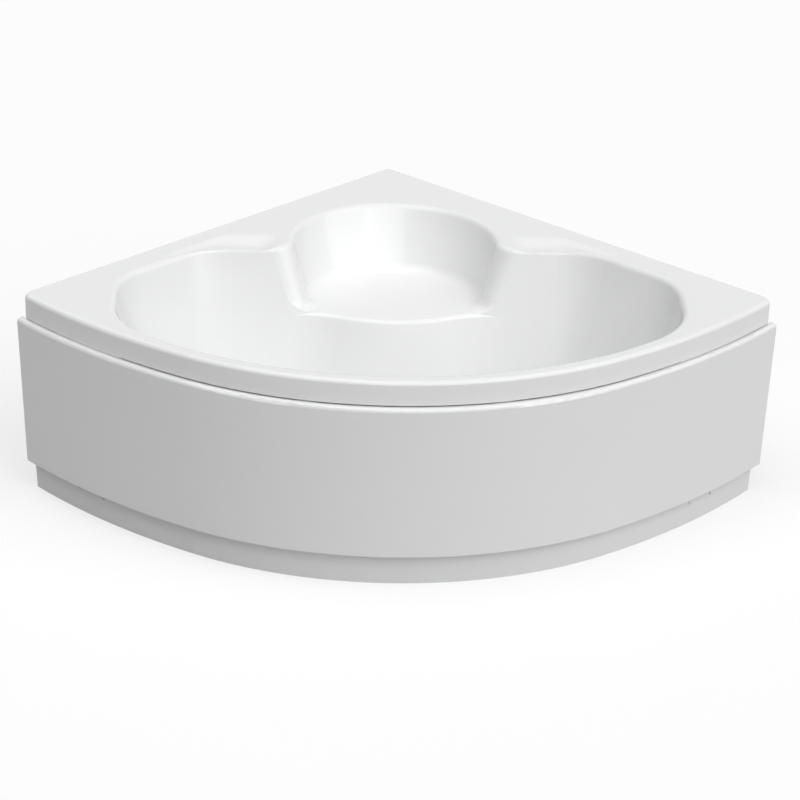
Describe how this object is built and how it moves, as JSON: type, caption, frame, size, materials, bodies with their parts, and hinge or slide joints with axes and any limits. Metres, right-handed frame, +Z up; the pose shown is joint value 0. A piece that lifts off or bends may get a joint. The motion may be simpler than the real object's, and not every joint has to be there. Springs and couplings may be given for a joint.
{
  "type": "corner bathtub",
  "caption": "Moulded acrylic corner bath with a corner seat, sunken armrests, bowed front panel, steel leg frame, overflow control and pop-up plug.",
  "frame": {"origin": "on the floor under the middle of the outline's box", "axes": "+Z up, -Y towards the bowed front, +Y towards the wall corner, X across"},
  "size_m": [1.9992, 1.5536, 0.575],
  "materials": {
    "acrylic": "glossy white sanitary acrylic",
    "panel_acrylic": "glossy white acrylic sheet",
    "board": "raw particle board and spruce",
    "frame_paint": "grey powder coat",
    "leg_steel": "zinc plated",
    "leg_foot": "black moulded plastic",
    "sheet_steel": "galvanised sheet",
    "cap_plastic": "white cover caps",
    "chrome": "polished chrome",
    "rubber": "black sealing rubber",
    "waste_plastic": "white polypropylene",
    "hose_plastic": "grey corrugated hose",
    "cable_plastic": "black cable sheath"
  },
  "bodies": {
    "bath": {"tub_shell": "acrylic", "base_board": "board", "seat_board": "board", "rim_batten_right": "board", "rim_batten_left": "board", "rail_long_left": "frame_paint", "rail_long_right": "frame_paint", "rail_cross": "frame_paint", "rail_rear": "frame_paint", "rail_wing_right": "frame_paint", "rail_wing_left": "frame_paint", "seat_post": "frame_paint", "leg_nuts_lower": "leg_steel", "leg_nuts_upper": "leg_steel", "front_panel": "panel_acrylic", "panel_bracket_right": "sheet_steel", "panel_bracket_left": "sheet_steel", "bracket_bolts": "leg_steel", "bracket_nuts": "leg_steel", "panel_screws": "leg_steel", "panel_screw_caps": "cap_plastic", "panel_clips": "sheet_steel", "wall_clips": "sheet_steel", "drain_flange": "chrome", "drain_gasket": "rubber", "waste_body": "waste_plastic", "trap_nut": "waste_plastic", "trap_body": "waste_plastic", "overflow_plate": "chrome", "overflow_gasket": "rubber", "overflow_body": "waste_plastic", "overflow_hose": "hose_plastic", "control_cable": "cable_plastic", "hose_nuts": "waste_plastic"},
    "plug": {"drain_plug": "chrome", "plug_seal": "rubber"},
    "knob": {"overflow_knob": "chrome"},
    "leg_1": {"leg_rod_1": "leg_steel", "leg_pad_1": "leg_foot"},
    "leg_2": {"leg_rod_2": "leg_steel", "leg_pad_2": "leg_foot"},
    "leg_3": {"leg_rod_3": "leg_steel", "leg_pad_3": "leg_foot"},
    "leg_4": {"leg_rod_4": "leg_steel", "leg_pad_4": "leg_foot"},
    "leg_5": {"leg_rod_5": "leg_steel", "leg_pad_5": "leg_foot"},
    "leg_6": {"leg_rod_6": "leg_steel", "leg_pad_6": "leg_foot"}
  },
  "joints": [
    {"name": "knob_turn", "type": "hinge", "parent": "bath", "child": "knob", "pos_m": [0, -0.6957, 0.5], "axis": [0, 0.9647, 0.2635], "range_deg": [0, 90]},
    {"name": "plug_lift", "type": "slide", "parent": "bath", "child": "plug", "axis": [0, 0, 1], "range_m": [0, 0.01]},
    {"name": "leg_level_1", "type": "slide", "parent": "bath", "child": "leg_1", "axis": [0, 0, -1], "range_m": [-0.015, 0.02]},
    {"name": "leg_level_2", "type": "slide", "parent": "bath", "child": "leg_2", "axis": [0, 0, -1], "range_m": [-0.015, 0.02]},
    {"name": "leg_level_3", "type": "slide", "parent": "bath", "child": "leg_3", "axis": [0, 0, -1], "range_m": [-0.015, 0.02]},
    {"name": "leg_level_4", "type": "slide", "parent": "bath", "child": "leg_4", "axis": [0, 0, -1], "range_m": [-0.015, 0.02]},
    {"name": "leg_level_5", "type": "slide", "parent": "bath", "child": "leg_5", "axis": [0, 0, -1], "range_m": [-0.015, 0.02]},
    {"name": "leg_level_6", "type": "slide", "parent": "bath", "child": "leg_6", "axis": [0, 0, -1], "range_m": [-0.015, 0.02]}
  ],
  "couplings": [
    {"joint": "plug_lift", "follows": "knob_turn", "m_per_rad": 0.00636}
  ]
}
